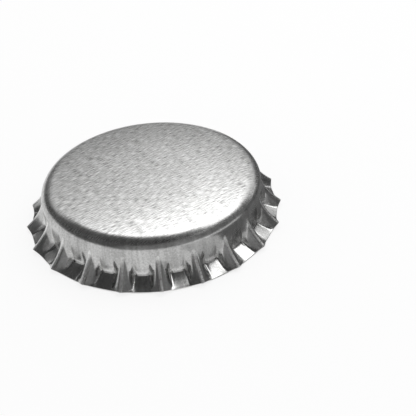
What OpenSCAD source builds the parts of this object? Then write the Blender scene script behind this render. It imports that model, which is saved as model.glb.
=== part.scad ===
// Crown cap: a shell drawn from tinplate sheet, with a skirt of 21 pressed flutes,
// and the sealing liner that is moulded in under its top panel.
// Origin on the table plane under the centre of the cap, +Z up through the top panel.
// One crest of the skirt lies on the +X axis.

/* [Crown] */
// Height from the edge of the skirt to the face of the top panel
cap_h = 6; // [5.6:0.05:6.6]
// Thickness of the tinplate sheet
sheet_t = 0.24; // [0.2:0.01:0.3]
// Inside diameter of the throat, which goes over the mouth of a bottle
throat_d = 26.8; // [26.4:0.05:27.2]
// Outside radius of the shoulder between the top panel and the wall
shoulder_r = 1.8; // [1.4:0.05:2]

/* [Flutes] */
// Number of flutes pressed round the skirt
flute_n = 21; // [18:1:24]
// How far the edge of the skirt stands out from the wall, in the valleys
flare_out = 1.84; // [1.6:0.01:2]
// How far the tips of the teeth stand out past the edge in the valleys
tooth_out = 0.57; // [0.4:0.01:0.7]
// Height of the tips of the teeth above the edge in the valleys
tip_lift = 0.4; // [0.2:0.05:0.6]
// Distance from the shoulder down to where a crest leaves the wall
crest_drop = 0.15; // [0.1:0.05:0.6]
// Share of the flute pitch that the base of a ridge takes
ridge_share = 0.52; // [0.44:0.02:0.6]
// Slope of the flare in a valley, in degrees from the vertical
valley_slope = 66; // [58:1:70]
// Slope of a crest where it leaves the wall, in degrees from the vertical
crest_slope = 13; // [8:1:20]
// Length of the turn from the wall into the flare, in a valley
valley_turn = 0.42; // [0.25:0.01:0.6]
// How much higher the flank of a ridge turns out of the wall at the crest
fold_rise = 1.9; // [1.5:0.05:2.2]

/* [Liner] */
// Thickness of the liner's middle
web_t = 0.25; // [0.15:0.05:0.5]
// Thickness of the liner at the crown of its sealing ring
ring_t = 0.85; // [0.6:0.05:1.1]
// Inside diameter of the sealing ring
ring_id = 18; // [16:0.1:20]
// Distance from the wall in to where the liner runs out
liner_gap = 0.3; // [0.2:0.05:0.6]

/* [Hidden] */

// Sheet and dome
wall_r = throat_d/2 + sheet_t;
throat_r = throat_d/2;
ceiling_z = cap_h - sheet_t;
shoulder_z = cap_h - shoulder_r;
bend_r = shoulder_r - sheet_t;

// Skirt. The flutes are pressed out of the wall: their root lies a little inside
// its surface, so the wall itself stays a true cylinder between the ridges.
pitch = 360/flute_n;
root_in = 0.08;
root_r = wall_r - root_in;
edge_r = wall_r + flare_out;
tip_r = edge_r + tooth_out;
// The lower corner of a valley's cut edge stands on the table
edge_z = sheet_t*sin(valley_slope);
edge_out = edge_r - root_r;
tip_out = tip_r - root_r;
knuckle_z = edge_z + edge_out/tan(valley_slope);
crest_z = shoulder_z - crest_drop;
// A crest leaves the wall softly over this length, and is rounded across over this
// share of the pitch
crest_turn = 0.25;
crest_soft = 0.035;
// The cut edge is square to the sheet and reaches this far in, and the hollow runs
// past it by this share of the flare
cut_depth = 2*sheet_t;
overrun = 0.12;
// Outer faces have columns on the crests, and hollows have theirs half a step on
on_crest = 0;
half_step = 0.5;

// Fineness of the skirt: columns from a crest to the next valley, the one that
// stands on the fold at a ridge's foot, rows down the wall, in the turn and down
// the flare, and steps along and round the skirt for finding normals
half_columns = 5;
fold_column = 3;
wall_rows = 3;
turn_rows = 2;
flare_rows = 5;
tiny = 0.001;
tiny_turn = 0.1;
round_fn = 126;

// The wall of the drawn cup ends inside the sheet of the flares
skirt_lap_z = knuckle_z - 0.6*sheet_t;
// The throat and the hollow under the flutes are cut right through, past the table
throat_end = -1;
hollow_end = -2;

// Liner
liner_r = throat_r - liner_gap;
ring_ir = ring_id/2;
ring_z = ceiling_z - ring_t;
ring_mid_r = (liner_r + ring_ir)/2;
lip_r = 0.3;
// The ring's dome drops by this much at its outer edge
dome_drop = 0.2;
dome_r = (pow(liner_r - ring_mid_r, 2) + dome_drop*dome_drop)/(2*dome_drop);
lip_z = ring_z + dome_r - sqrt(pow(dome_r - lip_r, 2) - pow(ring_mid_r - ring_ir - lip_r, 2));

// The crest is rounded over a small share of the pitch
function blunt(d) = sqrt(d*d + crest_soft*crest_soft) - crest_soft;
function from_top(d) = 0.5*blunt(d)/blunt(0.5);
// How far a column stands up a ridge: 0 from the fold at its foot on, 1 on the crest
function ridge(d) = max(0, 1 - 2*from_top(d)/ridge_share);
fold_d = sqrt(pow(ridge_share*blunt(0.5) + crest_soft, 2) - crest_soft*crest_soft);
// How far the edge runs out into a tooth: 0 in the valley, 1 at the tip
function tooth(d) = 1 - sin(180*from_top(d));

// Distance of a column from the nearest crest, as a share of the pitch. The
// columns crowd towards the crest, and j counts them round the skirt.
columns = 2*half_columns*flute_n;
crowding = ln(2*fold_d)/ln(fold_column/half_columns);
function from_crest(j) =
    let (k = (j + half_columns) % (2*half_columns) - half_columns)
    0.5*sign(k)*pow(abs(k)/half_columns, crowding);
function column_angle(j) = pitch*(floor((j + half_columns)/(2*half_columns)) + from_crest(j));
function column_angles(shift) = [for (j = [0 : columns - 1]) column_angle(j + shift)];

// Points are [distance out from the root of the flutes, height] from here on.
// Where a column with the share w of a ridge turns out of the wall, and how long
// that turn is: low in a valley, and higher towards the crest
function knuckle(w) = [0, knuckle_z + fold_rise*w];
function turn(w) = valley_turn*(1 + w);
function start_z(w) = knuckle(w).y + turn(w);

// Quadratic curve through a, towards b, to c
function bend(a, b, c, t) = (1 - t)*(1 - t)*a + 2*t*(1 - t)*b + t*t*c;

// Line down the sheet without its ridges: s runs from 0 at the shoulder, through 1
// where the turn starts and 2 where it ends, to 3 at the edge, and a little past
// it for cutting
function base_line(w, s) =
    let (
        edge = [edge_out, edge_z],
        foot = knuckle(w) + turn(w)*(edge - knuckle(w))/norm(edge - knuckle(w))
    )
    s < 1 ? [0, shoulder_z + s*(start_z(w) - shoulder_z)]
    : s < 2 ? bend([0, start_z(w)], knuckle(w), foot, s - 1)
    : foot + (s - 2)*(edge - foot);

// Depth below the place where a crest leaves the wall, from a soft start
function drop(z) = 0.5*(crest_z - z + sqrt(pow(crest_z - z, 2) + crest_turn*crest_turn));
// How far the crest stands out at a height: a hollow curve that ends at the tip
tip_drop = drop(edge_z + tip_lift);
start_drop = drop(shoulder_z);
lean = tan(crest_slope);
hollow = (tip_out - lean*(tip_drop - start_drop))/(pow(tip_drop, 2) - pow(start_drop, 2));
function crest_out(z) = lean*(drop(z) - start_drop) + hollow*(pow(drop(z), 2) - pow(start_drop, 2));

// Point of a column's outer face. A ridge adds its share of the crest to the base
// line, and towards the edge that share becomes the outline of the teeth.
function profile(d, s) =
    let (
        w = ridge(d),
        p = base_line(w, s),
        sunk = max(0, start_z(w) - p.y)/(start_z(w) - edge_z),
        late = p.x/edge_out,
        share = w + (tooth(d) - w)*late*late
    )
    [p.x + share*(crest_out(p.y + tip_lift*sunk) - p.x), p.y + tip_lift*sunk*tooth(d)];

function on_ring(angle, p) = [p.x*cos(angle), p.x*sin(angle), p.y];
function distance_at(angle) = abs(angle/pitch - round(angle/pitch));
function outer_point(angle, s) = on_ring(angle, [root_r, 0] + profile(distance_at(angle), s));
function sheet_normal(angle, s) =
    let (
        s0 = max(0, s - tiny),
        down = outer_point(angle, s + tiny) - outer_point(angle, s0),
        around = outer_point(angle + tiny_turn, s) - outer_point(angle - tiny_turn, s),
        n = cross(down, around)
    ) n/norm(n);
function inner_point(angle, s) = outer_point(angle, s) - sheet_t*sheet_normal(angle, s);

rows = concat(
    [for (i = [1 : wall_rows - 1]) i/wall_rows],
    [for (i = [0 : turn_rows - 1]) 1 + i/turn_rows],
    [for (i = [0 : flare_rows]) 2 + i/flare_rows]
);

// Closed solid between a stack of rings, fanned to a point on the axis at each end
module lofted(rings, top_z, bottom_z) {
    count = len(rings);
    corners = concat([for (ring = rings) each ring], [[0, 0, top_z], [0, 0, bottom_z]]);
    apex = count*columns;
    polyhedron(
        points = corners,
        faces = [
            for (j = [0 : columns - 1])
                let (next = (j + 1) % columns)
                each concat(
                    [[apex, next, j]],
                    [for (i = [0 : count - 2]) each [
                        [i*columns + j, i*columns + next, (i + 1)*columns + j],
                        [i*columns + next, (i + 1)*columns + next, (i + 1)*columns + j]
                    ]],
                    [[apex + 1, (count - 1)*columns + j, (count - 1)*columns + next]]
                )
        ]
    );
}

// Block whose outside is the outer face of the flutes and whose underside is the
// cut edge of the sheet, square to its faces
module flute_block() {
    angles = column_angles(on_crest);
    lofted(
        concat(
            [[for (a = angles) on_ring(a, [root_r, shoulder_z])]],
            [for (s = rows) [for (a = angles) outer_point(a, s)]],
            [[for (a = angles) outer_point(a, 3) - cut_depth*sheet_normal(a, 3)]]
        ),
        shoulder_z, 0
    );
}

// Hollow under the flutes, one sheet thickness inside their outer face
module flute_hollow() {
    angles = column_angles(half_step);
    lofted(
        concat(
            [[for (a = angles) on_ring(a, [root_r - sheet_t, shoulder_z])]],
            [for (s = rows) [for (a = angles) inner_point(a, s)]],
            [[for (a = angles) inner_point(a, 3 + overrun)]],
            [[for (a = angles) on_ring(a, [tip_r, hollow_end])]]
        ),
        shoulder_z, hollow_end
    );
}

// Half section of a cup standing upside down, with a rounded shoulder
module cup_section(radius, top, round_r, bottom) {
    translate([0, bottom]) square([radius, top - round_r - bottom]);
    translate([0, bottom]) square([radius - round_r, top - bottom]);
    translate([radius - round_r, top - round_r]) circle(round_r);
}

module shell() {
    color([0.74, 0.75, 0.76])
    difference() {
        union() {
            rotate_extrude($fn = round_fn) cup_section(wall_r, cap_h, shoulder_r, skirt_lap_z);
            flute_block();
        }
        rotate_extrude($fn = round_fn) cup_section(throat_r, ceiling_z, bend_r, throat_end);
        flute_hollow();
    }
}

// Half section of the sealing ring: a flat dome with a rounded inner lip
module ring_section() {
    intersection() {
        translate([ring_mid_r, ring_z + dome_r]) circle(dome_r);
        translate([ring_ir + lip_r, ring_z]) square([liner_r - ring_ir - lip_r, ring_t]);
    }
    translate([ring_ir + lip_r, lip_z]) circle(lip_r);
    translate([ring_ir, lip_z]) square([lip_r, ceiling_z - lip_z]);
}

module liner() {
    color([0.89, 0.91, 0.86])
    rotate_extrude($fn = round_fn) intersection() {
        cup_section(throat_r, ceiling_z, bend_r, knuckle_z);
        union() {
            translate([0, ceiling_z - web_t]) square([ring_ir + lip_r, web_t]);
            ring_section();
        }
    }
}

shell();
liner();
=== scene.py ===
"""Crown cap for a bottle, dressed for rendering.

A shell drawn from tinplate, whose skirt is pressed into 21 flutes, and the sealing
liner moulded in under its top panel. Sizes are in millimetres until a mesh is made.
"""

import sys

import logging
import math
from dataclasses import dataclass, fields
from enum import Enum
from typing import Callable

import bpy
from mathutils import Matrix, Vector


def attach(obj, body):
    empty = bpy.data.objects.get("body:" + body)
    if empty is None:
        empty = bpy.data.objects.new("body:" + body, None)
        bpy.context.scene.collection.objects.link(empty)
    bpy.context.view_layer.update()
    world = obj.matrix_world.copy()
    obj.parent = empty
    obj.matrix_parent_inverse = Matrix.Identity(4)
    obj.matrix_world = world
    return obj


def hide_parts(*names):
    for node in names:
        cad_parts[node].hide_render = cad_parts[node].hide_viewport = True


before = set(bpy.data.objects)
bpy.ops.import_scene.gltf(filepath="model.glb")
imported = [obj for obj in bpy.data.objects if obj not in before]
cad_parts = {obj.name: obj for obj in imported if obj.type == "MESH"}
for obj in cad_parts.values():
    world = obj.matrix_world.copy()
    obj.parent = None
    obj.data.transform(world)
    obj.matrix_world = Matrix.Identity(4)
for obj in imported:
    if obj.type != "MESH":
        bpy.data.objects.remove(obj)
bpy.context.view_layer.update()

MM = 0.001
IMAGE_SIDE = 416
LOG = logging.getLogger("crown_cap")

Number = float | int
Point = tuple[float, float]
Colour = tuple[float, float, float]
Corner = tuple[float, float, float]
Socket = bpy.types.NodeSocket


# ---------------------------------------------------------------- nodes as expressions


class Value:
    """A number that a socket carries. Sums on it add Math nodes to its graph."""

    def __init__(self, graph: "Graph", socket: Socket) -> None:
        """Keeps the graph that new nodes go into, and the socket."""
        self.graph = graph
        self.socket = socket

    def math(self, operation: str, *others: "Value | Number") -> "Value":
        """Result of a Math node with this value first."""
        return self.graph.math(operation, self, *others)

    def __add__(self, other: "Value | Number") -> "Value":
        """Sum."""
        return self.math("ADD", other)

    __radd__ = __add__

    def __mul__(self, other: "Value | Number") -> "Value":
        """Product."""
        return self.math("MULTIPLY", other)

    __rmul__ = __mul__

    def __sub__(self, other: "Value | Number") -> "Value":
        """Difference."""
        return self.math("SUBTRACT", other)

    def __rsub__(self, other: Number) -> "Value":
        """Difference, with this value taken away."""
        return self.graph.math("SUBTRACT", other, self)

    def __truediv__(self, other: "Value | Number") -> "Value":
        """Quotient."""
        return self.math("DIVIDE", other)

    def __rtruediv__(self, other: Number) -> "Value":
        """Quotient, with this value below."""
        return self.graph.math("DIVIDE", other, self)

    def __pow__(self, other: "Value | Number") -> "Value":
        """Power."""
        return self.math("POWER", other)

    def sqrt(self) -> "Value":
        """Square root."""
        return self.math("SQRT")

    def sin(self) -> "Value":
        """Sine of radians."""
        return self.math("SINE")

    def cos(self) -> "Value":
        """Cosine of radians."""
        return self.math("COSINE")

    def floor(self) -> "Value":
        """Whole number below."""
        return self.math("FLOOR")

    def nearest(self) -> "Value":
        """Nearest whole number."""
        return self.math("ROUND")

    def size(self) -> "Value":
        """Value without its sign."""
        return self.math("ABSOLUTE")

    def least(self, other: "Value | Number") -> "Value":
        """Lesser of two."""
        return self.math("MINIMUM", other)

    def most(self, other: "Value | Number") -> "Value":
        """Greater of two."""
        return self.math("MAXIMUM", other)

    def held(self) -> "Value":
        """Value kept between 0 and 1."""
        return self.most(0.0).least(1.0)

    def step(self, low: Number, high: Number) -> "Value":
        """Smooth step from 0 at low to 1 at high."""
        share = ((self - low) / (high - low)).held()
        return share * share * (3.0 - 2.0 * share)

    def swing(self) -> "Value":
        """A noise about 0 instead of about its middle, 0.5."""
        return self - 0.5

    def softly(self, blend: "Value") -> "Value":
        """Greater of this value and 0, rounded over where the two meet."""
        return 0.5 * (self + (self * self + blend * blend).sqrt())

    def bell(self) -> "Value":
        """1 where this value is 0, and soon 0 on both sides of that."""
        return 1.0 / (1.0 + self * self) ** 2


class Graph:
    """A node tree with one short way to add each kind of node."""

    def __init__(self, tree: bpy.types.NodeTree) -> None:
        """Keeps the tree."""
        self.tree = tree

    @staticmethod
    def find(sockets: bpy.types.bpy_prop_collection, key: str | int) -> Socket:
        """Finds a socket in use.

        Args:
            sockets: A node's inputs or outputs.
            key: The socket's name or its place in the list.

        Returns:
            The socket.
        """
        if isinstance(key, int):
            return sockets[key]
        return next(s for s in sockets if s.name == key and s.enabled)

    def feed(self, socket: Socket, value: object) -> None:
        """Links a socket to a value, or sets it.

        Args:
            socket: The input.
            value: A Value or socket to link from, or a plain setting.
        """
        if isinstance(value, Value):
            self.tree.links.new(value.socket, socket)
        elif isinstance(value, Socket):
            self.tree.links.new(value, socket)
        else:
            socket.default_value = value

    def add(
        self, kind: str, settings: dict | None = None, sockets: dict | None = None
    ) -> bpy.types.Node:
        """Adds a node.

        Args:
            kind: The node's type.
            settings: Its properties, set first.
            sockets: What its inputs take, by name or place.

        Returns:
            The node.
        """
        node = self.tree.nodes.new(kind)
        for name, value in (settings or {}).items():
            setattr(node, name, value)
        for key, value in (sockets or {}).items():
            self.feed(self.find(node.inputs, key), value)
        return node

    def out(
        self, kind: str, key: str | int, settings: dict | None = None, sockets: dict | None = None
    ) -> Value:
        """Adds a node and takes one of its outputs as a value."""
        return Value(self, self.find(self.add(kind, settings, sockets).outputs, key))

    def math(self, operation: str, *terms: Value | Number) -> Value:
        """Adds a Math node over its terms."""
        return self.out("ShaderNodeMath", 0, {"operation": operation}, dict(enumerate(terms)))

    def vector(self, x: Value | Number, y: Value | Number, z: Value | Number) -> Socket:
        """Vector of three values."""
        return self.add("ShaderNodeCombineXYZ", {}, {"X": x, "Y": y, "Z": z}).outputs[0]

    def vector_math(self, operation: str, *terms: object) -> Socket:
        """Vector that a Vector Math node gives for its terms."""
        node = self.add("ShaderNodeVectorMath", {"operation": operation}, dict(enumerate(terms)))
        return self.find(node.outputs, "Vector")

    def scaled(self, vector: Socket, factor: Value | Number) -> Socket:
        """Vector times a number."""
        sockets = {"Vector": vector, "Scale": factor}
        return self.add("ShaderNodeVectorMath", {"operation": "SCALE"}, sockets).outputs[0]

    def length(self, vector: Socket) -> Value:
        """Length of a vector."""
        return self.out("ShaderNodeVectorMath", "Value", {"operation": "LENGTH"}, {0: vector})

    def split(self, vector: Socket) -> tuple[Value, ...]:
        """The three parts of a vector."""
        node = self.add("ShaderNodeSeparateXYZ", {}, {"Vector": vector})
        return tuple(Value(self, socket) for socket in node.outputs)

    def radius(self, vector: Socket) -> Value:
        """Distance of a place from the Z axis."""
        x, y, _ = self.split(vector)
        return (x * x + y * y).sqrt()

    def own_place(self) -> Socket:
        """Object coordinates in millimetres."""
        place = self.find(self.add("ShaderNodeTexCoord").outputs, "Object")
        return self.scaled(place, 1 / MM)

    def mix(self, factor: Value | Number, a: object, b: object) -> Socket:
        """Colour between a and b."""
        node = self.add("ShaderNodeMix", {"data_type": "RGBA"}, {"Factor": factor, "A": a, "B": b})
        return self.find(node.outputs, "Result")

    def noise(self, vector: Socket, fineness: float, detail: float = 2.0, rough: float = 0.5) -> Value:
        """Noise between 0 and 1, about 0.5.

        Args:
            vector: Where it is read.
            fineness: Its grains in each unit.
            detail: Octaves.
            rough: Weight of the finer octaves.

        Returns:
            The noise.
        """
        sockets = {"Vector": vector, "Scale": fineness, "Detail": detail, "Roughness": rough}
        return self.out("ShaderNodeTexNoise", 0, {"noise_dimensions": "3D"}, sockets)

    def mapped(self, vector: Socket, turn: float, scale: Corner) -> Socket:
        """Coordinates turned about Z, then scaled.

        Args:
            vector: The coordinates.
            turn: Degrees from the pattern's X to the piece's X.
            scale: Factors along the pattern's axes.

        Returns:
            The new coordinates.
        """
        settings = {"vector_type": "POINT"}
        sockets = {"Vector": vector, "Rotation": (0, 0, math.radians(turn))}
        turned = self.add("ShaderNodeMapping", settings, sockets).outputs[0]
        return self.add("ShaderNodeMapping", settings, {"Vector": turned, "Scale": scale}).outputs[0]


# ---------------------------------------------------------------- finishes


def opaque(colour: Colour) -> tuple[float, float, float, float]:
    """A colour with full cover."""
    return (*colour, 1.0)


def grey(level: float) -> tuple[float, float, float, float]:
    """An opaque grey."""
    return opaque((level, level, level))


class Surface:
    """A material under way: its graph and its shader."""

    def __init__(self, name: str, **uniform: object) -> None:
        """Starts a material.

        Args:
            name: The material's name.
            uniform: Settings of the shader that are the same all over, by socket name.
        """
        self.material = bpy.data.materials.new(name)
        self.material.use_nodes = True
        tree = self.material.node_tree
        tree.nodes.clear()
        self.graph = Graph(tree)
        self.shader = self.graph.add("ShaderNodeBsdfPrincipled")
        self.drive(**uniform)
        self.graph.add("ShaderNodeOutputMaterial", {}, {"Surface": self.shader.outputs[0]})

    def blank(self) -> Socket:
        """Place on the flat sheet that the shell was drawn from, in millimetres."""
        node = self.graph.add("ShaderNodeAttribute", {"attribute_name": CrownShell.BLANK})
        return self.graph.find(node.outputs, "Vector")

    def worn(self) -> Value:
        """Wear and painted highlight of the shell, from 0 to 1: its lighter lines are partly scuffing and
        partly painted highlight.
        """
        return self.graph.out("ShaderNodeAttribute", "Fac", {"attribute_name": CrownShell.WEAR})

    def drive(self, **inputs: object) -> None:
        """Feeds or sets the shader's inputs.

        Args:
            inputs: What each takes, by socket name.
        """
        for key, value in inputs.items():
            name = key.replace("_", " ").title()
            self.graph.feed(self.graph.find(self.shader.inputs, name), value)

    def bump(self, height: Value, depth: float) -> Socket:
        """Normal over a relief that runs from 0 to about 1, whose depth is in millimetres."""
        sockets = {"Height": height, "Distance": depth * MM, "Strength": 1.0}
        return self.graph.add("ShaderNodeBump", {}, sockets).outputs[0]


@dataclass(frozen=True)
class RolledTinplate:
    """Outside of the shell: tinplate with its rolling grain over the top panel, drawn
    smoother over the skirt, and lighter along its crests and folds, partly from scuffing and partly as
    painted highlight.

    Widths, lengths and radii are in millimetres on the flat blank, finenesses in grains
    for each millimetre of it, and each span is where a pattern starts and is full.
    """

    bright: Colour = (0.76, 0.76, 0.755)
    dull: Colour = (0.27, 0.27, 0.265)
    # painted highlight: this light colour for the lines along crests, folds and soles is partly scuffed
    # steel and partly painted highlight
    scuffed: Colour = (0.92, 0.92, 0.91)
    shade_span: Point = (0.32, 0.68)
    grain_turn: float = 33.0
    grain_width: float = 0.115
    grain_length: float = 0.95
    grain_depth: float = 0.006
    grain_rough: float = 0.1
    broad_width: float = 0.345
    broad_length: float = 2.85
    broad_depth: float = 0.6
    scratch_width: float = 0.092
    scratch_length: float = 2.6
    scratch_span: Point = (0.6, 0.75)
    cloud_fineness: float = 0.2
    grit_fineness: float = 4.0
    draw_fineness: float = 24.0
    panel_grain: float = 0.95
    panel_cloud: float = 0.07
    panel_scratch: float = 0.15
    panel_rough: float = 0.29
    panel_radius: float = 13.1
    bend_width: float = 1.0
    smooth_span: Point = (-0.5, 1.5)
    skirt_shade: float = 0.48
    skirt_draw: float = 0.2
    skirt_grit: float = 0.25
    skirt_cloud: float = 0.25
    skirt_rough: float = 0.21
    grit_depth: float = 0.25
    draw_depth: float = 0.1
    scuff_rough: float = 0.45
    scuff_and_highlight_span: Point = (0.2, 0.6)

    def grain(self, graph: Graph, blank: Socket, width: float, length: float) -> Value:
        """Streaks along the rolling direction, about as wide and as long as given."""
        streaks = graph.mapped(blank, -self.grain_turn, (1 / length, 1 / width, 1.0))
        return graph.noise(streaks, 1.0, rough=0.6)

    def draw_marks(self, graph: Graph, blank: Socket) -> Value:
        """Marks that the drawing die leaves straight down the skirt."""
        ray = graph.vector_math("NORMALIZE", blank)
        return graph.noise(graph.scaled(ray, self.draw_fineness), 1.0, detail=3.0, rough=0.6)

    def material(self) -> bpy.types.Material:
        """Makes the material.

        Returns:
            The material.
        """
        surface = Surface("rolled_tinplate", metallic=1.0)
        graph, blank = surface.graph, surface.blank()
        fine = self.grain(graph, blank, self.grain_width, self.grain_length)
        broad = self.grain(graph, blank, self.broad_width, self.broad_length)
        scratch = self.grain(graph, blank, self.scratch_width, self.scratch_length)
        cloud = graph.noise(blank, self.cloud_fineness)
        grit = graph.noise(blank, self.grit_fineness, detail=3.0, rough=0.65)
        draw = self.draw_marks(graph, blank)

        reach = graph.radius(blank)
        bent = reach.step(self.panel_radius - self.bend_width, self.panel_radius)
        drawn = reach.step(*(self.panel_radius + side for side in self.smooth_span))
        panel = self.panel_grain * fine + self.panel_cloud * cloud
        panel = panel - self.panel_scratch * scratch.step(*self.scratch_span)
        skirt = self.skirt_shade + self.skirt_draw * draw.swing()
        skirt = skirt + self.skirt_grit * grit.swing() + self.skirt_cloud * cloud.swing()
        shade = (panel + bent * (skirt - panel)).step(*self.shade_span)
        tin = graph.mix(shade, opaque(self.dull), opaque(self.bright))

        # painted highlight: the mask lightens crests, folds and soles, partly as scuffing and partly as
        # painted highlight
        wear = surface.worn() * grit.step(*self.scuff_and_highlight_span)
        rough = self.panel_rough + self.grain_rough * fine.swing()
        rough = rough + drawn * (self.skirt_rough - self.panel_rough)
        relief = fine + self.broad_depth * broad
        relief = relief + drawn * (self.grit_depth * grit + self.draw_depth * draw - relief)
        surface.drive(
            # painted highlight: the lighter colour goes on where the mask is, partly wear and partly
            # highlight
            base_color=graph.mix(wear, tin, opaque(self.scuffed)),
            roughness=rough + wear * (self.scuff_rough - rough),
            normal=surface.bump(relief, self.grain_depth),
        )
        return surface.material


@dataclass(frozen=True)
class InsideLacquer:
    """Inside of the shell: tinplate under a satin lacquer."""

    colour: Colour = (0.4, 0.4, 0.39)
    thin: Colour = (0.5, 0.5, 0.49)
    thin_span: Point = (0.35, 0.7)
    cloud_fineness: float = 0.3
    peel_fineness: float = 3.5
    peel_depth: float = 0.006
    peel_rough: float = 0.12
    rough: float = 0.38
    coat: float = 0.35
    coat_rough: float = 0.25

    def material(self) -> bpy.types.Material:
        """Makes the material.

        Returns:
            The material.
        """
        surface = Surface(
            "inside_lacquer", metallic=1.0, coat_weight=self.coat, coat_roughness=self.coat_rough
        )
        graph, blank = surface.graph, surface.blank()
        cloud = graph.noise(blank, self.cloud_fineness, detail=3.0, rough=0.55)
        peel = graph.noise(blank, self.peel_fineness)
        thin = cloud.step(*self.thin_span)
        surface.drive(
            base_color=graph.mix(thin, opaque(self.colour), opaque(self.thin)),
            roughness=self.rough + self.peel_rough * peel.swing(),
            normal=surface.bump(peel, self.peel_depth),
        )
        return surface.material


@dataclass(frozen=True)
class BareEdge:
    """Cut edge of the sheet: bare steel, blanked bright."""

    colour: Colour = (0.92, 0.92, 0.91)
    nicked: Colour = (0.7, 0.7, 0.69)
    nick_fineness: float = 5.0
    nick_depth: float = 0.01
    nick_rough: float = 0.2
    rough: float = 0.42

    def material(self) -> bpy.types.Material:
        """Makes the material.

        Returns:
            The material.
        """
        surface = Surface("bare_edge", metallic=1.0)
        graph = surface.graph
        nick = graph.noise(graph.own_place(), self.nick_fineness, detail=3.0, rough=0.6)
        surface.drive(
            base_color=graph.mix(nick, opaque(self.nicked), opaque(self.colour)),
            roughness=self.rough + self.nick_rough * nick.swing(),
            normal=surface.bump(nick, self.nick_depth),
        )
        return surface.material


@dataclass(frozen=True)
class SealingCompound:
    """Liner: moulded sealing compound, satin, a little greyer over the thin middle."""

    ring: Colour = (0.84, 0.87, 0.81)
    middle: Colour = (0.7, 0.76, 0.72)
    cloudy: Colour = (0.6, 0.63, 0.58)
    cloudiness: float = 0.12
    ring_from: float = 8.4
    ring_full: float = 9.2
    flow_fineness: float = 0.35
    flow_depth: float = 0.014
    flow_rough: float = 0.12
    pore_fineness: float = 6.0
    pore_depth: float = 0.006
    rough: float = 0.34
    glow_weight: float = 0.15
    glow_depth: float = 0.6

    def material(self) -> bpy.types.Material:
        """Makes the material.

        Returns:
            The material.
        """
        surface = Surface(
            "sealing_compound",
            subsurface_weight=self.glow_weight,
            subsurface_scale=self.glow_depth * MM,
        )
        graph = surface.graph
        place = graph.own_place()
        flow = graph.noise(place, self.flow_fineness, detail=3.0)
        pore = graph.noise(place, self.pore_fineness, rough=0.6)
        rim = graph.radius(place).step(self.ring_from, self.ring_full)
        colour = graph.mix(rim, opaque(self.middle), opaque(self.ring))
        depth = self.flow_depth + self.pore_depth
        relief = (self.flow_depth / depth) * flow + (self.pore_depth / depth) * pore
        surface.drive(
            base_color=graph.mix(self.cloudiness * flow, colour, opaque(self.cloudy)),
            roughness=self.rough + self.flow_rough * flow.swing(),
            normal=surface.bump(relief, depth),
        )
        return surface.material


# ---------------------------------------------------------------- the shell


class Zone(Enum):
    """Which side of the sheet a face belongs to."""

    OUTSIDE = 0
    EDGE = 1
    INSIDE = 2


class Draw(Enum):
    """What chance varies from flute to flute. The number sets each draw apart."""

    CREST_PLACE = 1
    CREST_START = 2
    TIP_OUT = 3
    TIP_LIFT = 4


@dataclass(frozen=True)
class Path:
    """A point in a half section, as radius and height."""

    r: Value
    z: Value

    def bend(self, over: "Path", end: "Path", share: Value | Number) -> "Path":
        """Point on the curve that leaves this point towards another and comes to an end.

        Args:
            over: The point that the curve is drawn towards.
            end: The curve's end.
            share: How far along, from 0 to 1.

        Returns:
            The point.
        """
        a = (1.0 - share) * (1.0 - share)
        b = 2.0 * share * (1.0 - share)
        c = share * share
        return Path(a * self.r + b * over.r + c * end.r, a * self.z + b * over.z + c * end.z)


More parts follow.
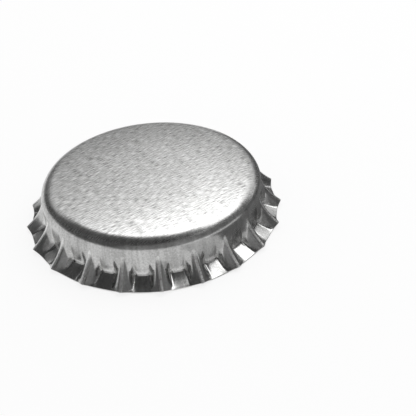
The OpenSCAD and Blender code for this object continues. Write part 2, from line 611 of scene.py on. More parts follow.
@dataclass
class CrownShell:
    """The drawn shell. One sheet, followed as a grid of columns round the axis and rows
    from the middle of the top, over the skirt and its cut edge, to the middle inside.

    Widths and places across a flute are in flutes, and the other sizes in millimetres.
    """

    cap_height: float = 6.0
    wall_radius: float = 13.64
    sheet: float = 0.24
    shoulder_radius: float = 1.8
    rim_width: float = 6.0
    rim_fall: float = 0.14
    flare_out: float = 1.84
    tooth_out: float = 0.57
    tooth_point: float = 1.6
    tip_lift: float = 0.4
    crest_drop: float = 0.1
    ridge_share: float = 0.52
    valley_slope: float = 66.5
    crest_slope: float = 13.0
    valley_turn: float = 0.2
    flare_turn: float = 0.8
    fold_rise: float = 1.9
    crest_turn: float = 0.25
    crest_soft: float = 0.04
    base_soft: float = 0.05
    groove_in: float = 0.12
    groove_aside: float = 0.02
    groove_width: float = 0.05
    sole_out: float = 0.12
    sole_width: float = 0.07
    edge_round: float = 0.05
    uneven_place: float = 0.025
    uneven_start: float = 0.1
    uneven_tip: float = 0.05
    uneven_lift: float = 0.1
    crowding: float = 1.25
    flutes: int = 21
    flute_columns: int = 40
    seed: int = 4

    BLANK = "blank"
    # painted highlight: this attribute marks lines painted lighter, partly wear and partly highlight
    WEAR = "wear"
    ZONE = "zone"

    def sizes(self) -> dict[str, Number]:
        """The sizes by the names that they have as inputs of the trees."""
        return {f.name.replace("_", " ").capitalize(): getattr(self, f.name) for f in fields(self)}

    def new_tree(
        self, name: str, extra: dict[str, str], results: dict[str, str]
    ) -> tuple[Graph, dict[str, Value]]:
        """Starts a Geometry Nodes tree whose inputs are the sizes.

        Args:
            name: The tree's name.
            extra: Names and types of its other inputs.
            results: Names and types of its outputs.

        Returns:
            The graph, and its inputs by name.
        """
        tree = bpy.data.node_groups.new(name, "GeometryNodeTree")
        for key, kind in results.items():
            tree.interface.new_socket(key, in_out="OUTPUT", socket_type=kind)
        for key, kind in extra.items():
            tree.interface.new_socket(key, in_out="INPUT", socket_type=kind)
        for key, value in self.sizes().items():
            kind = "NodeSocketInt" if isinstance(value, int) else "NodeSocketFloat"
            socket = tree.interface.new_socket(key, in_out="INPUT", socket_type=kind)
            socket.default_value = value
        graph = Graph(tree)
        given = graph.add("NodeGroupInput")
        return graph, {s.name: Value(graph, s) for s in given.outputs if s.name}

    def build(self, finishes: dict[Zone, bpy.types.Material]) -> bpy.types.Object:
        """Makes the shell's mesh.

        Args:
            finishes: The material of each side of the sheet.

        Returns:
            The shell, at the origin.
        """
        tree = ShellTree(self, SkirtRule(self).tree(), finishes).tree()
        piece = bpy.data.objects.new("crown_shell", bpy.data.meshes.new("crown_shell"))
        bpy.context.scene.collection.objects.link(piece)
        maker = piece.modifiers.new("flutes", "NODES")
        maker.node_group = tree
        names = {item.name: item.identifier for item in tree.interface.items_tree if item.in_out == "INPUT"}
        for name, value in self.sizes().items():
            maker[names[name]] = value
        return plain_mesh(piece)


class SkirtRule:
    """Builds the tree of the skirt's rule: a point of its outer face, and its wear and
    painted highlight there, from a turn and a place along.

    The turn is in flutes from the +X axis. The place along runs from 0 at the shoulder,
    through TURN where the wall of a valley starts to turn out and FLARE where its flare
    starts, to EDGE. Each line down the skirt lies between the line of a valley and the
    line of a crest, by one weight.

    The groove, the sole and what ends in FROM are given by places along, CREST_WEAR_AND_HIGHLIGHT and
    FOLD_WEAR_AND_HIGHLIGHT by distances in flutes, and FOLD_WEAR_AND_HIGHLIGHT_TO by shares of the flare.
    """

    TURN, FLARE, EDGE = 1.0, 2.0, 3.0
    HALF_FLUTE = 0.5
    GROOVE_DEEPENS = (0.3, 1.0)
    GROOVE_FADES_FROM = 1.5
    GROOVE_FADE = 0.6
    SOLE_AT = 0.98
    SOLE_BOW = 0.3
    SOLE_BOW_POWER = 6
    SOLE_END_POWER = 8
    # painted highlight: these spans set where crests and folds are painted lighter, partly as wear and
    # partly as highlight
    CREST_WEAR_AND_HIGHLIGHT = (0.02, 0.06)
    CREST_WEAR_AND_HIGHLIGHT_FROM = (0.3, 0.7)
    FOLD_WEAR_AND_HIGHLIGHT = (0.008, 0.03)
    FOLD_WEAR_AND_HIGHLIGHT_FROM = (0.45, 0.9)
    FOLD_WEAR_AND_HIGHLIGHT_TO = (0.4, 0.7)

    def __init__(self, shell: CrownShell) -> None:
        """Starts the tree and works out how a turn stands to its nearest crest.

        Args:
            shell: The sizes, which become inputs of the tree.
        """
        kinds = {"Turn": "NodeSocketFloat", "Along": "NodeSocketFloat"}
        results = {"Point": "NodeSocketVector", "Wear": "NodeSocketFloat"}
        self.graph, self.given = shell.new_tree("skirt_rule", kinds, results)
        given = self.given
        self.along = given["Along"]
        self.shoulder_z = given["Cap height"] - given["Shoulder radius"]
        near = given["Turn"].nearest()
        self.flute = near - given["Flutes"] * ((near + self.HALF_FLUTE) / given["Flutes"]).floor()
        aside = given["Turn"] - near
        window = 1.0 - 4.0 * aside * aside
        sway = given["Uneven place"] * self.chance(Draw.CREST_PLACE) * window * window
        self.off = (aside - sway).size()
        self.from_top = self.HALF_FLUTE * self.blunt(self.off) / self.blunt(self.HALF_FLUTE)
        slack = 1.0 - 2.0 * self.from_top / given["Ridge share"]
        self.ridge = slack.softly(given["Base soft"])
        self.tooth = (1.0 - (math.pi * self.from_top).sin()) ** given["Tooth point"]

    def chance(self, draw: Draw) -> Value:
        """Random number from -1 to 1 for the flute."""
        sockets = {"Min": -1.0, "Max": 1.0, "ID": self.flute, "Seed": self.given["Seed"] + draw.value}
        return self.graph.out("FunctionNodeRandomValue", "Value", {"data_type": "FLOAT"}, sockets)

    def blunt(self, distance: Value | Number) -> Value:
        """Distance from a crest's line, blunted so that the crest is round across."""
        soft = self.given["Crest soft"]
        return (distance * distance + soft * soft).sqrt() - soft

    def valley(self) -> tuple[Path, Path, Path]:
        """Line of a valley, whose fold stands higher under a ridge.

        Returns:
            The point, as a distance out from the wall and a height, then where the line
            starts to turn out, and where it ends.
        """
        given, along = self.given, self.along
        wall, out, reach = given["Wall radius"], given["Flare out"], given["Flare turn"]
        steep = math.radians(1.0) * given["Valley slope"]
        edge = Path(wall + out, given["Sheet"] * steep.sin())
        fall = out * steep.cos() / steep.sin() + given["Fold rise"] * self.ridge
        knuckle = Path(wall, edge.z + fall)
        start = Path(wall, knuckle.z + given["Valley turn"] * (1.0 + self.ridge))
        foot = Path(wall + reach * out, knuckle.z - reach * fall)
        bend = start.bend(knuckle, foot, (along - self.TURN).held())
        flare = (along - self.FLARE).most(0.0)
        above = self.TURN - along.least(self.TURN)
        point = Path(
            bend.r + flare * (edge.r - foot.r) - wall,
            bend.z + flare * (edge.z - foot.z) + above * (self.shoulder_z - start.z),
        )
        return point, start, edge

    def fluted(self, valley: Path, start: Path, edge: Path, late: Value) -> Path:
        """Moves a point of a valley's line out and up by its share of the crest.

        Args:
            valley: The point, as a distance out from the wall and a height.
            start: Where the valley's line starts to turn out.
            edge: Where it ends.
            late: How far out the point is, as a share of the flare.

        Returns:
            The point of the fluted skirt.
        """
        given = self.given
        lift = given["Tip lift"] * (1.0 + given["Uneven lift"] * self.chance(Draw.TIP_LIFT))
        sunk = ((start.z - valley.z) / (start.z - edge.z)).most(0.0)
        late_start = given["Uneven start"] * (1.0 + self.chance(Draw.CREST_START))
        crest_z = self.shoulder_z - given["Crest drop"] - late_start

        def drop(height: Value) -> Value:
            """Depth below the place where the crest leaves the wall, from a soft start."""
            return (crest_z - height).softly(given["Crest turn"])

        lean = (math.radians(1.0) * given["Crest slope"]).math("TANGENT")
        full = drop(edge.z + lift)
        tip_out = given["Tooth out"] * (1.0 + given["Uneven tip"] * self.chance(Draw.TIP_OUT))
        hollow = (given["Flare out"] + tip_out - lean * full) / (full * full)
        below, first = drop(valley.z + lift * sunk), drop(self.shoulder_z)
        crest = lean * (below - first) + hollow * (below * below - first * first)
        weight = self.ridge + (self.tooth - self.ridge) * late * late
        out = valley.r + weight * (crest - valley.r)
        return Path(given["Wall radius"] + out, valley.z + lift * sunk * self.tooth)

    def groove(self) -> Value:
        """Depth of the groove beside a ridge's foot, from 0 to 1.

        Returns:
            The depth.
        """
        given = self.given
        foot = self.HALF_FLUTE * given["Ridge share"] + given["Groove aside"]
        beside = (self.from_top - foot) / given["Groove width"]
        fade = 1.0 - (self.GROOVE_FADE * (self.along - self.GROOVE_FADES_FROM)).held()
        return self.along.step(*self.GROOVE_DEEPENS) * fade * beside.bell()

    def sole(self) -> Value:
        """Height of the raised rim round the foot of a valley's wall, from 0 to 1.

        Returns:
            The height.
        """
        across = (2.0 * (self.HALF_FLUTE - self.from_top) / (1.0 - self.given["Ridge share"])).held()
        above = self.along - self.SOLE_AT + self.SOLE_BOW * across**self.SOLE_BOW_POWER
        return (1.0 - across**self.SOLE_END_POWER) * (above / self.given["Sole width"]).bell()

    def wear(self, late: Value, sole: Value) -> Value:
        """Wear and painted highlight of the sheet, from 0 to 1: lighter along crests, folds and soles,
        partly from scuffing and partly as painted highlight.

        Args:
            late: How far out the point is, as a share of the flare.
            sole: Height of the sole's rim.

        Returns:
            The wear and painted highlight.
        """
        # painted highlight: lighter lines along crests, folds and soles stand partly for wear and partly
        # for highlights
        crest = (1.0 - self.off.step(*self.CREST_WEAR_AND_HIGHLIGHT)) * self.along.step(*self.CREST_WEAR_AND_HIGHLIGHT_FROM)
        side = (self.off - self.HALF_FLUTE * self.given["Ridge share"]).size()
        fold = (1.0 - side.step(*self.FOLD_WEAR_AND_HIGHLIGHT)) * self.along.step(*self.FOLD_WEAR_AND_HIGHLIGHT_FROM)
        return crest.most((fold * (1.0 - late.step(*self.FOLD_WEAR_AND_HIGHLIGHT_TO))).most(sole))

    def tree(self) -> bpy.types.NodeTree:
        """Ends the tree.

        Returns:
            The tree, with a point and its wear and painted highlight as outputs.
        """
        given = self.given
        valley, start, edge = self.valley()
        late = valley.r / given["Flare out"]
        place = self.fluted(valley, start, edge, late)
        sole = self.sole()
        r = place.r - given["Groove in"] * self.groove() + given["Sole out"] * sole
        angle = given["Turn"] * (2.0 * math.pi) / given["Flutes"]
        point = self.graph.vector(r * angle.cos(), r * angle.sin(), place.z)
        self.graph.add("NodeGroupOutput", {}, {"Point": point, "Wear": self.wear(late, sole)})
        return self.graph.tree


class ShellTree:
    """Builds the tree that lays the sheet over the skirt's rule.

    TURN_STEP and ALONG_STEP are the small moves that show how the sheet lies. Over the
    first HANG of the rule the sheet turns from upright to its own lie. FLARE_STRETCH is
    the share of its reach outwards that the flare had on the flat blank, and SIDE_GAP
    keeps the patterns of the two sides apart.
    """

    ROWS = {"panel": 8, "shoulder": 14, "wall": 16, "turn": 7, "flare": 10, "edge": 8}
    SKIRT = ("wall", "turn", "flare")
    PANEL_CROWDING = 0.7
    TURN_STEP = 0.006
    ALONG_STEP = 0.01
    HANG = 0.2
    FLARE_STRETCH = 0.6
    SIDE_GAP = 7.0
    WELD = 4e-7
    EDGE_SHARPNESS = 0.8

    def __init__(
        self, shell: CrownShell, rule: bpy.types.NodeTree, finishes: dict[Zone, bpy.types.Material]
    ) -> None:
        """Starts the tree.

        Args:
            shell: The sizes.
            rule: The tree that gives a point of the skirt.
            finishes: The material of each side of the sheet.
        """
        self.shell = shell
        self.rule = rule
        self.finishes = finishes
        self.graph, self.given = shell.new_tree("fluted_shell", {}, {"Result": "NodeSocketGeometry"})
        self.columns = self.given["Flutes"] * self.given["Flute columns"]
        self.flat = self.given["Wall radius"] - self.given["Shoulder radius"]
        self.centre_z = self.given["Cap height"] - self.given["Shoulder radius"]
        self.rim_tilt = 2.0 * self.given["Rim fall"] / self.given["Rim width"]

    def skirt(self, turn: Value, along: Value | Number, output: int = 0) -> Socket:
        """Reads the skirt's rule.

        Args:
            turn: Flutes from the +X axis.
            along: Place along the rule.
            output: 0 for the point of the outer face, or 1 for its wear and painted highlight.

        Returns:
            The output.
        """
        sizes = {name: self.given[name] for name in self.shell.sizes()}
        sockets = {"Turn": turn, "Along": along, **sizes}
        return self.graph.add("GeometryNodeGroup", {"node_tree": self.rule}, sockets).outputs[output]

    def sheet_frame(self, turn: Value, along: Value | Number) -> tuple[Socket, Socket, Socket]:
        """How the sheet lies at a point of the skirt.

        Args:
            turn: Flutes from the +X axis.
            along: Place along the rule.

        Returns:
            The point, the outward normal and the direction towards the edge.
        """
        g = self.graph
        below, above = (self.skirt(turn, along + step) for step in (self.ALONG_STEP, -self.ALONG_STEP))
        after, before = (self.skirt(turn + step, along) for step in (self.TURN_STEP, -self.TURN_STEP))
        down = g.vector_math("SUBTRACT", below, above)
        around = g.vector_math("SUBTRACT", after, before)
        normal = g.vector_math("NORMALIZE", g.vector_math("CROSS_PRODUCT", down, around))
        return self.skirt(turn, along), normal, g.vector_math("NORMALIZE", down)

    def turn_of(self, column: Value) -> Value:
        """Where a column stands. The columns crowd towards the crests.

        Args:
            column: Its number.

        Returns:
            Flutes from the +X axis.
        """
        half = self.given["Flute columns"] / 2
        ahead = column + half
        flute = ((ahead + 0.5) / (2.0 * half)).floor()
        step = ahead - 2.0 * half * flute - half
        share = (step.size() / half) ** self.given["Crowding"]
        return flute + 0.5 * step.math("SIGN") * share

    def strip(self, rows: int, zone: Zone, place: Callable[[Value, Value], tuple]) -> Socket:
        """One band of the sheet.

        Args:
            rows: Steps across the band.
            zone: The side of the sheet.
            place: Gives the point, its radius on the flat blank and its wear and painted
                highlight, from the turn and the share across the band.

        Returns:
            The band's mesh.
        """
        g = self.graph
        across = self.columns + 1.0
        grid = g.add("GeometryNodeMeshGrid", {}, {"Vertices X": rows + 1, "Vertices Y": across})
        index = g.out("GeometryNodeInputIndex", 0)
        row = ((index + 0.5) / across).floor()
        turn = self.turn_of(index - row * across)
        point, reach, wear = place(turn, row / float(rows))
        sockets = {"Geometry": grid.outputs[0], "Position": g.scaled(point, MM)}
        band = g.add("GeometryNodeSetPosition", {}, sockets).outputs[0]
        blank = self.on_axis(turn, reach, self.SIDE_GAP * zone.value)
        for name, kind, domain, value in (
            (CrownShell.BLANK, "FLOAT_VECTOR", "POINT", blank),
            (CrownShell.WEAR, "FLOAT", "POINT", wear),
            (CrownShell.ZONE, "INT", "FACE", zone.value),
        ):
            settings = {"data_type": kind, "domain": domain}
            sockets = {"Geometry": band, "Name": name, "Value": value}
            band = g.add("GeometryNodeStoreNamedAttribute", settings, sockets).outputs[0]
        return band

    def on_axis(self, turn: Value, r: Value | Number, z: Value | Number) -> Socket:
        """Point at a turn, a radius and a height."""
        angle = turn * (2.0 * math.pi) / self.given["Flutes"]
        return self.graph.vector(r * angle.cos(), r * angle.sin(), z)

    def panel(self, zone: Zone) -> Socket:
        """The flat top, which falls a little at its rim.

        Args:
            zone: The side of the sheet.

        Returns:
            The band's mesh.
        """
        given = self.given
        inset = given["Sheet"] * self.depth(zone)
        reach = self.flat + (given["Shoulder radius"] - inset) * self.rim_tilt
        height = given["Cap height"] - inset

        def place(turn: Value, share: Value) -> tuple[Socket, Value, Number]:
            """Places a point of the band.

            Args:
                turn: Flutes from the +X axis.
                share: How far across the band, from 0 to 1.

            Returns:
                The point, its radius on the flat blank and its wear and painted highlight.
            """
            r = reach * self.ordered(share, zone) ** self.PANEL_CROWDING
            rim = ((r - reach) / given["Rim width"] + 1.0).most(0.0)
            return self.on_axis(turn, r, height - given["Rim fall"] * rim * rim), r, 0.0

        return self.strip(self.ROWS["panel"], zone, place)

    def shoulder(self, zone: Zone) -> Socket:
        """The rounded shoulder.

        Args:
            zone: The side of the sheet.

        Returns:
            The band's mesh.
        """
        given, first = self.given, self.rim_tilt
        bend = given["Shoulder radius"] - given["Sheet"] * self.depth(zone)

        def place(turn: Value, share: Value) -> tuple[Socket, Value, Number]:
            """Places a point of the band.

            Args:
                turn: Flutes from the +X axis.
                share: How far across the band, from 0 to 1.

            Returns:
                The point, its radius on the flat blank and its wear and painted highlight.
            """
            tilt = first + self.ordered(share, zone) * (math.pi / 2 - first)
            rise = (bend - given["Rim fall"]) * tilt.cos() / first.cos()
            point = self.on_axis(turn, self.flat + bend * tilt.sin(), self.centre_z + rise)
            return point, self.flat + given["Shoulder radius"] * tilt, 0.0

        return self.strip(self.ROWS["shoulder"], zone, place)

    def band(self, name: str, zone: Zone) -> Socket:
        """One unit of the skirt's rule. The sheet starts upright under the shoulder, so
        that its inner face meets the shoulder's.

        Args:
            name: The unit: wall, turn or flare.
            zone: The side of the sheet.

        Returns:
            The band's mesh.
        """

        def place(turn: Value, share: Value) -> tuple[Socket, Value, Socket | Number]:
            """Places a point of the band.

            Args:
                turn: Flutes from the +X axis.
                share: How far across the band, from 0 to 1.

            Returns:
                The point, its radius on the flat blank and its wear and painted highlight.
            """
            g = self.graph
            along = float(self.SKIRT.index(name)) + self.ordered(share, zone)
            point, normal, _ = self.sheet_frame(turn, along)
            hung = along.step(0.0, self.HANG)
            level = g.scaled(self.on_axis(turn, 1.0, 0.0), 1.0 - hung)
            normal = g.vector_math("NORMALIZE", g.vector_math("ADD", g.scaled(normal, hung), level))
            inward = g.scaled(normal, self.given["Sheet"] * self.depth(zone))
            # painted highlight: the outer face takes the rule's wear and painted highlight
            worn = self.skirt(turn, along, 1) if zone is Zone.OUTSIDE else 0.0
            return g.vector_math("SUBTRACT", point, inward), self.blank_radius(point), worn

        return self.strip(self.ROWS[name], zone, place)

    def edge(self) -> Socket:
        """The cut edge, rounded a little at its corners.

        Returns:
            The band's mesh.
        """

        def place(turn: Value, share: Value) -> tuple[Socket, Value, Number]:
            """Places a point of the band.

            Args:
                turn: Flutes from the +X axis.
                share: How far across the band, from 0 to 1.

            Returns:
                The point, its radius on the flat blank and its wear and painted highlight.
            """
            g = self.graph
            point, normal, down = self.sheet_frame(turn, SkirtRule.EDGE)
            sweep = share * math.pi
            inward = g.scaled(normal, self.given["Sheet"] * 0.5 * (1.0 - sweep.cos()))
            bulge = sweep.sin().most(0.0) ** self.EDGE_SHARPNESS
            outward = g.scaled(down, self.given["Edge round"] * bulge)
            at = g.vector_math("ADD", g.vector_math("SUBTRACT", point, inward), outward)
            return at, self.blank_radius(point), 1.0

        return self.strip(self.ROWS["edge"], Zone.EDGE, place)

    def blank_radius(self, point: Socket) -> Value:
        """Radius that a point of the skirt had on the flat blank, about.

        Args:
            point: The point.

        Returns:
            The radius.
        """
        x, y, z = self.graph.split(point)
        out = (x * x + y * y).sqrt() - self.given["Wall radius"]
        bent = self.flat + self.given["Shoulder radius"] * (math.pi / 2)
        return bent + (self.centre_z - z) + self.FLARE_STRETCH * out

    @staticmethod
    def depth(zone: Zone) -> float:
        """How many sheet thicknesses a side lies in from the outer face."""
        return 1.0 if zone is Zone.INSIDE else 0.0

    @staticmethod
    def ordered(share: Value, zone: Zone) -> Value:
        """Share across a band, which the inside follows backwards."""
        return 1.0 - share if zone is Zone.INSIDE else share

    def tree(self) -> bpy.types.NodeTree:
        """Joins the bands, welds them and gives each side its material.

        Returns:
            The tree, whose output is the shell.
        """
        g = self.graph
        strips = [self.edge()]
        for zone in (Zone.OUTSIDE, Zone.INSIDE):
            strips += [self.panel(zone), self.shoulder(zone)]
            strips += [self.band(name, zone) for name in self.SKIRT]
        joined = g.add("GeometryNodeJoinGeometry")
        for strip in strips:
            g.tree.links.new(strip, joined.inputs[0])
        sockets = {"Geometry": joined.outputs[0], "Distance": self.WELD}
        welded = g.add("GeometryNodeMergeByDistance", {}, sockets)
        smooth = g.add("GeometryNodeSetShadeSmooth", {}, {"Geometry": welded.outputs[0]})
        result = g.add("GeometryNodeRealizeInstances", {}, {"Geometry": smooth.outputs[0]}).outputs[0]
        side = g.add("GeometryNodeInputNamedAttribute", {"data_type": "INT"}, {"Name": CrownShell.ZONE})
        equal = {"data_type": "INT", "operation": "EQUAL"}
        for zone, finish in self.finishes.items():
            chosen = g.add("FunctionNodeCompare", equal, {"A": side.outputs[0], "B": zone.value})
            sockets = {"Geometry": result, "Selection": chosen.outputs[0], "Material": finish}
            result = g.add("GeometryNodeSetMaterial", {}, sockets).outputs[0]
        g.add("NodeGroupOutput", {}, {"Result": result})
        return g.tree


def plain_mesh(piece: bpy.types.Object) -> bpy.types.Object:
    """Turns a piece's modifiers into plain mesh.

    Args:
        piece: The object, whose mesh the result replaces.

    Returns:
        The same object, with no modifier.
    """
    graph = bpy.context.evaluated_depsgraph_get()
    made = bpy.data.meshes.new_from_object(
        piece.evaluated_get(graph), preserve_all_data_layers=True, depsgraph=graph
    )
    piece.modifiers.clear()
    piece.data = made
    made.name = piece.name
    return piece


# ---------------------------------------------------------------- the liner


@dataclass
class SealingLiner:
    """The moulded liner: a thin middle and a domed sealing ring, under the top panel."""

    shell: CrownShell
    web: float = 0.25
    ring: float = 0.85
    ring_inner: float = 9.0
    gap: float = 0.3
    lip: float = 0.3
    dome_drop: float = 0.2
    edge_width: float = 0.05
    edge_rise: float = 0.04
    foot: float = 0.06
    bead_radius: float = 7.6
    bead_half: float = 0.4
    bead_drop: float = 0.02
    upper_rings: tuple[float, ...] = (4.0, 8.0)
    lower_rings: tuple[float, ...] = (5.0, 3.0, 1.0)
    columns: int = 252
    arc_steps: int = 10

    @property
    def ceiling_z(self) -> float:
        """Height of the shell's ceiling."""
        return self.shell.cap_height - self.shell.sheet

    @property
    def corner_radius(self) -> float:
        """Radius of the bend inside the shell's shoulder."""
        return self.shell.shoulder_radius - self.shell.sheet

    @property
    def corner(self) -> float:
        """Distance from the axis at which that bend starts."""
        return self.shell.wall_radius - self.shell.shoulder_radius

    @property
    def outer(self) -> float:
        """Outer radius of the liner, which stops a gap short of the shell's wall."""
        return self.shell.wall_radius - self.shell.sheet - self.gap

    def dome(self) -> tuple[float, float, float]:
        """Works out the dome of the ring's underside.

        Returns:
            Radius of its middle from the axis, its height there, and its own radius.
        """
        middle = (self.outer + self.ring_inner) / 2
        radius = ((self.outer - middle) ** 2 + self.dome_drop**2) / (2 * self.dome_drop)
        return middle, self.ceiling_z - self.ring, radius

    def underside(self, r: float) -> float:
        """Height of the dome's face at a radius."""
        middle, low, radius = self.dome()
        return low + radius - math.sqrt(radius**2 - (r - middle) ** 2)

    def upper_face(self) -> list[Point]:
        """The face that the shell's ceiling and its corner shape.

        Returns:
            Half section, from the axis outwards.
        """
        points = [(r, self.ceiling_z) for r in (0.0, *self.upper_rings)]
        end = math.asin((self.corner_radius - self.gap) / self.corner_radius)
        for i in range(self.arc_steps + 1):
            tilt = end * i / self.arc_steps
            fall = self.corner_radius * (1 - math.cos(tilt))
            points.append((self.corner + self.corner_radius * math.sin(tilt), self.ceiling_z - fall))
        return points

    def lower_face(self) -> list[Point]:
        """The ring's dome, its rounded inner lip and the thin middle with its low bead.

        Returns:
            Half section, from the outside to the axis.
        """
        points = [(self.outer, self.underside(self.outer) + self.edge_rise)]
        first, last = self.outer - self.edge_width, self.ring_inner + self.lip
        for i in range(2 * self.arc_steps + 1):
            r = first - (first - last) * i / (2 * self.arc_steps)
            points.append((r, self.underside(r)))
        lip_z = self.underside(last) + self.lip
        for i in range(1, self.arc_steps + 1):
            tilt = math.pi / 2 * i / self.arc_steps
            points.append((last - self.lip * math.sin(tilt), lip_z - self.lip * math.cos(tilt)))
        face = self.ceiling_z - self.web
        points += [
            (self.ring_inner, face - self.foot),
            (self.ring_inner - self.foot / 3, face - self.foot / 3),
            (self.ring_inner - self.foot, face),
            (self.bead_radius + self.bead_half, face),
            (self.bead_radius, face - self.bead_drop),
            (self.bead_radius - self.bead_half, face),
        ]
        return points + [(r, face) for r in (*self.lower_rings, 0.0)]

    def build(self, finish: bpy.types.Material) -> bpy.types.Object:
        """Makes the liner.

        Args:
            finish: The sealing compound.

        Returns:
            The liner, at the origin.
        """
        profile = self.upper_face() + self.lower_face()
        mesh = revolved("sealing_liner", profile, self.columns)
        mesh.materials.append(finish)
        piece = bpy.data.objects.new("sealing_liner", mesh)
        bpy.context.scene.collection.objects.link(piece)
        return piece


def revolved(name: str, profile: list[Point], columns: int) -> bpy.types.Mesh:
    """Closed mesh of revolution about Z.

    Args:
        name: The mesh's name.
        profile: Half section in millimetres, from the axis to the axis, seen with
            the solid on its right.
        columns: Steps round the axis.

    Returns:
        The mesh, smooth, with one vertex at each pole.
    """
    first, last = profile[0], profile[-1]
    corners = [(0.0, 0.0, first[1] * MM)]
    for r, z in profile[1:-1]:
        for j in range(columns):
            angle = 2 * math.pi * j / columns
            corners.append((r * math.cos(angle) * MM, r * math.sin(angle) * MM, z * MM))
    corners.append((0.0, 0.0, last[1] * MM))
    rings = len(profile) - 2
    faces: list[tuple[int, ...]] = []
    for j in range(columns):
        k = (j + 1) % columns
        faces.append((0, 1 + j, 1 + k))
        for i in range(rings - 1):
            a, b = 1 + i * columns, 1 + (i + 1) * columns
            faces.append((a + j, b + j, b + k, a + k))
        a = 1 + (rings - 1) * columns
        faces.append((a + j, len(corners) - 1, a + k))
    mesh = bpy.data.meshes.new(name)
    mesh.from_pydata(corners, [], faces)
    mesh.shade_smooth()
    mesh.update()
    return mesh


# ---------------------------------------------------------------- studio


@dataclass(frozen=True)
class View:
    """The camera. It looks at the point of the table under the cap's centre, which
    stands off the middle of the picture. Its focal length and that point are in pixels."""

    azimuth: float = 5.08
    elevation: float = 36.06
    roll: float = -6.69
    distance: float = 103.7
    focal: float = 812.3
    seen_at: Point = (154.8, 211.5)
    sensor: float = 36.0
    clip_near: float = 5.0
    clip_far: float = 20000.0

    def bearing(self, right: float, elevation: float) -> Vector:
        """Direction from the cap.

        Args:
            right: Degrees to the right of straight behind the cap.
            elevation: Degrees above the table.

        Returns:
            The direction, of length 1.
        """
        b, e = math.radians(right), math.radians(elevation)
        plain = Vector((math.sin(b) * math.cos(e), math.cos(b) * math.cos(e), math.sin(e)))
        return Matrix.Rotation(math.radians(self.azimuth), 3, "Z") @ plain

    def stand(self, thing: bpy.types.Object, right: float, elevation: float, distance: float) -> None:
        """Stands a lamp or a card round the cap, facing it.

        Args:
            thing: The lamp or card.
            right: Degrees to the right of straight behind the cap.
            elevation: Degrees above the table.
            distance: Millimetres from the cap.
        """
        towards = self.bearing(right, elevation)
        thing.location = towards * distance * MM
        thing.rotation_euler = towards.to_track_quat("Z", "Y").to_euler()

    def make(self) -> bpy.types.Object:
        """Makes the scene's camera.

        Returns:
            The camera.
        """
        e, roll = math.radians(self.elevation), math.radians(self.roll)
        back = Vector((0, -math.cos(e), math.sin(e)))
        right = Vector((1, 0, 0))
        up = back.cross(right)
        right, up = (
            math.cos(roll) * right + math.sin(roll) * up,
            math.cos(roll) * up - math.sin(roll) * right,
        )
        middle = IMAGE_SIDE / 2
        dx = (self.seen_at[0] - middle) / self.focal
        dy = (middle - self.seen_at[1]) / self.focal
        aim = Vector((0, 0, 1)).rotation_difference(Vector((dx, dy, 1)).normalized()).to_matrix()
        axes = [sum((row[i] * axis for i, axis in enumerate((right, up, -back))), Vector()) for row in aim]
        turn = Matrix.Rotation(math.radians(self.azimuth), 3, "Z")
        basis = Matrix((axes[0], axes[1], -axes[2])).transposed()
        camera = bpy.data.objects.new("camera", bpy.data.cameras.new("camera"))
        camera.matrix_world = (turn @ basis).to_4x4()
        camera.location = turn @ back * self.distance * MM
        camera.data.sensor_width = self.sensor
        camera.data.lens = self.focal * self.sensor / IMAGE_SIDE
        camera.data.clip_start = self.clip_near * MM
        camera.data.clip_end = self.clip_far * MM
        bpy.context.scene.collection.objects.link(camera)
        bpy.context.scene.camera = camera
        return camera


def rectangle(half_width: float, half_height: float) -> list[Corner]:
    """Corners of a rectangle about the origin, in metres from millimetres."""
    w, h = half_width * MM, half_height * MM
    return [(-w, -h, 0.0), (w, -h, 0.0), (w, h, 0.0), (-w, h, 0.0)]


def stage_sheet(
    name: str,
    corners: list[Corner],
    faces: list[tuple[int, ...]],
    finish: bpy.types.Material,
    seen: bool = False,
) -> bpy.types.Object:
    """Makes a flat sheet of the studio.

    Args:
        name: The sheet's name.
        corners: Its corners, in metres.
        faces: The corners of each face.
        finish: Its material.
        seen: Whether it is there for more than reflections.

    Returns:
        The sheet, at the origin.
    """
    mesh = bpy.data.meshes.new(name)
    mesh.from_pydata(corners, [], faces)
    mesh.materials.append(finish)
    sheet = bpy.data.objects.new(name, mesh)
    sheet.visible_camera = sheet.visible_diffuse = sheet.visible_shadow = seen
    bpy.context.scene.collection.objects.link(sheet)
    return sheet


@dataclass(frozen=True)
class Softbox:
    """A soft lamp that faces the cap. Its level is the brightness of its face, and 1
    is the white of the background."""

    name: str
    right: float
    elevation: float
    distance: float
    width: float
    height: float
    level: float

    def make(self, view: View) -> bpy.types.Object:
        """Makes the lamp.

        Args:
            view: The camera, whose bearing places it.

        Returns:
            The lamp.
        """
        light = bpy.data.lights.new(self.name, "AREA")
        light.shape = "RECTANGLE"
        light.size, light.size_y = self.width * MM, self.height * MM
        light.energy = self.level * math.pi * light.size * light.size_y
        lamp = bpy.data.objects.new(self.name, light)
        view.stand(lamp, self.right, self.elevation, self.distance)
        bpy.context.scene.collection.objects.link(lamp)
        return lamp


@dataclass(frozen=True)
class Card:
    """A flat card beside the cap, which shows in reflections only. Its face runs from
    one grey at its foot to another at its head."""

    name: str
    right: float
    elevation: float
    distance: float
    width: float
    height: float
    foot: float
    head: float

    def make(self, view: View) -> bpy.types.Object:
        """Makes the card, facing the cap.

        Args:
            view: The camera, whose bearing places it.

        Returns:
            The card.
        """
        surface = Surface(self.name, roughness=1.0)
        graph = surface.graph
        _, up, _ = graph.split(graph.own_place())
        rise = (up / self.height + 0.5).held()
        surface.drive(base_color=graph.mix(rise, grey(self.foot), grey(self.head)))
        corners = rectangle(self.width / 2, self.height / 2)
        card = stage_sheet(self.name, corners, [(0, 1, 2, 3)], surface.material)
        view.stand(card, self.right, self.elevation, self.distance)
        return card


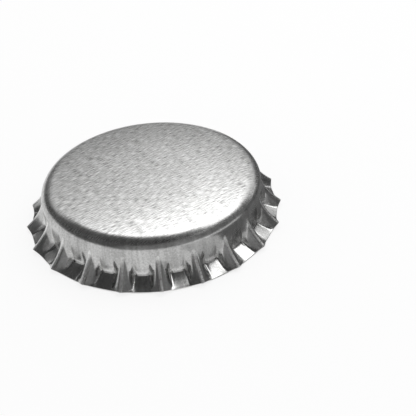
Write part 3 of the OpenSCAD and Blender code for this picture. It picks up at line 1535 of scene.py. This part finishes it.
@dataclass(frozen=True)
class TableShadowCard:
    """A grey card that lies on the table beside the cap, part of a ring round it, and
    shows in reflections only. It is painted shadow: a darker sheet where the table round the cap's foot
    lies in shade, for the metal to mirror."""

    name: str
    right: float
    spread: float
    near: float
    far: float
    shade: float
    lift: float = 0.05
    steps: int = 24

    def make(self, view: View) -> bpy.types.Object:
        """Makes the card.

        Args:
            view: The camera, whose bearing places it.

        Returns:
            The card.
        """
        first = self.right - self.spread / 2
        rays = [view.bearing(first + self.spread * i / self.steps, 0.0) for i in range(self.steps + 1)]
        places = [ray * reach * MM for ray in rays for reach in (self.near, self.far)]
        corners = [(place.x, place.y, self.lift * MM) for place in places]
        faces = [(2 * i, 2 * i + 2, 2 * i + 3, 2 * i + 1) for i in range(self.steps)]
        surface = Surface(self.name, roughness=1.0, base_color=grey(self.shade))
        return stage_sheet(self.name, corners, faces, surface.material)


@dataclass
class Studio:
    """Pale floor, pale surroundings, a soft lamp and grey cards."""

    view: View
    floor_half: float = 1200.0
    paper: float = 0.85
    lift: float = 0.8
    shadow_reach: float = 60.0
    white_from: float = 260.0
    surround: float = 0.7

    def ray(self, graph: Graph, kind: str) -> Value:
        """1 for rays of one kind, by the name that the Light Path node gives it."""
        return graph.out("ShaderNodeLightPath", f"Is {kind} Ray")

    def backdrop_share(self, graph: Graph) -> Value:
        """1 for rays from the camera and for those that metal or glass sends on."""
        rays = self.ray(graph, "Camera") + self.ray(graph, "Glossy") + self.ray(graph, "Transmission")
        return rays.least(1.0)

    def floor_lift(self, graph: Graph) -> Value:
        """How far the floor is lifted to white, which for the camera grows away from the cap.

        Args:
            graph: The floor's graph.

        Returns:
            The share of white, from 0 to 1.
        """
        reach = graph.length(graph.own_place())
        away = self.ray(graph, "Camera") * reach.step(self.shadow_reach, self.white_from)
        return self.backdrop_share(graph) * (self.lift + (1.0 - self.lift) * away)

    def floor(self) -> bpy.types.Object:
        """The table: paper that shows near white and keeps the cap's shadow.

        Returns:
            The floor.
        """
        material = bpy.data.materials.new("floor_paper")
        material.use_nodes = True
        material.node_tree.nodes.clear()
        graph = Graph(material.node_tree)
        paper = graph.add("ShaderNodeBsdfDiffuse", {}, {"Color": grey(self.paper)})
        white = graph.add("ShaderNodeEmission", {}, {"Color": grey(1.0), "Strength": 1.0})
        sockets = {0: self.floor_lift(graph), 1: paper.outputs[0], 2: white.outputs[0]}
        shown = graph.add("ShaderNodeMixShader", {}, sockets)
        graph.add("ShaderNodeOutputMaterial", {}, {"Surface": shown.outputs[0]})
        corners = rectangle(self.floor_half, self.floor_half)
        return stage_sheet("floor", corners, [(0, 1, 2, 3)], material, seen=True)

    def world(self) -> None:
        """Pale surroundings, white behind the cap."""
        world = bpy.data.worlds.new("studio")
        world.use_nodes = True
        world.node_tree.nodes.clear()
        graph = Graph(world.node_tree)
        colour = graph.mix(self.backdrop_share(graph), grey(self.surround), grey(1.0))
        back = graph.add("ShaderNodeBackground", {}, {"Color": colour, "Strength": 1.0})
        graph.add("ShaderNodeOutputWorld", {}, {"Surface": back.outputs[0]})
        bpy.context.scene.world = world

    def lamps(self) -> list[Softbox]:
        """The soft lamp, by its bearing, distance, size and level."""
        return [Softbox("softbox_main", 44.0, 64.5, 300.0, 372.0, 226.0, 1.9)]

    def cards(self) -> list[Card | TableShadowCard]:
        """The cards that the metal mirrors, which stand all round below the lamp: each by its
        bearing, distance, size and greys, or, as painted shadow lying on the table, by its bearing, spread,
        reach and grey."""
        return [
            Card("card_behind", 0.0, 17.0, 420.0, 350.0, 289.0, 0.38, 0.48),
            Card("card_behind_left", -42.0, 12.0, 400.0, 290.0, 245.0, 0.12, 0.16),
            Card("card_behind_right", 38.0, 6.0, 400.0, 260.0, 170.0, 0.18, 0.18),
            Card("card_left", -100.0, 34.0, 380.0, 640.0, 390.0, 0.16, 0.14),
            Card("card_right", 105.0, 24.0, 380.0, 512.0, 300.0, 0.25, 0.2),
            Card("card_front", 180.0, 26.0, 420.0, 930.0, 400.0, 0.42, 0.28),
            Card("card_overhead", -128.0, 68.0, 330.0, 733.0, 380.0, 0.15, 0.02),
            Card("card_above_right", 136.0, 66.0, 260.0, 150.0, 170.0, 0.1, 0.1),
            Card("card_low", 66.0, 2.0, 30.0, 52.0, 14.0, 0.16, 0.16),
            # painted shadow: these two darker sheets stand for the shade on the table round the cap's foot
            TableShadowCard("painted_shadow_on_table", 82.0, 115.0, 14.6, 45.0, 0.16),
            TableShadowCard("painted_shadow_on_table_front", 152.0, 25.0, 14.6, 45.0, 0.58),
        ]

    def make(self) -> None:
        """Sets up the stage, the lamp and the camera."""
        bpy.context.scene.view_settings.view_transform = "Standard"
        self.floor()
        self.world()
        for part in (*self.lamps(), *self.cards()):
            part.make(self.view)
            LOG.info("studio: %s", part.name)
        self.view.make()


# ---------------------------------------------------------------- assembly


def fit(piece: bpy.types.Object, node: str) -> None:
    """Puts a finished piece in the place of its CAD node.

    Args:
        piece: The piece, at the origin.
        node: The node it stands for.
    """
    plain = len(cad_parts[node].data.polygons)
    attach(piece, "root")
    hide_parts(node)
    LOG.info("%s: %d faces, for the %d of node %s", piece.name, len(piece.data.polygons), plain, node)


def main() -> None:
    """Builds the cap's pieces and the studio, in order."""
    logging.basicConfig(level=logging.INFO, format="%(name)s %(message)s", stream=sys.stdout)
    finishes = {
        Zone.OUTSIDE: RolledTinplate().material(),
        Zone.EDGE: BareEdge().material(),
        Zone.INSIDE: InsideLacquer().material(),
    }
    shell = CrownShell()
    fit(shell.build(finishes), "shell")
    fit(SealingLiner(shell).build(SealingCompound().material()), "liner")
    Studio(View()).make()


if __name__ == "__main__":
    main()
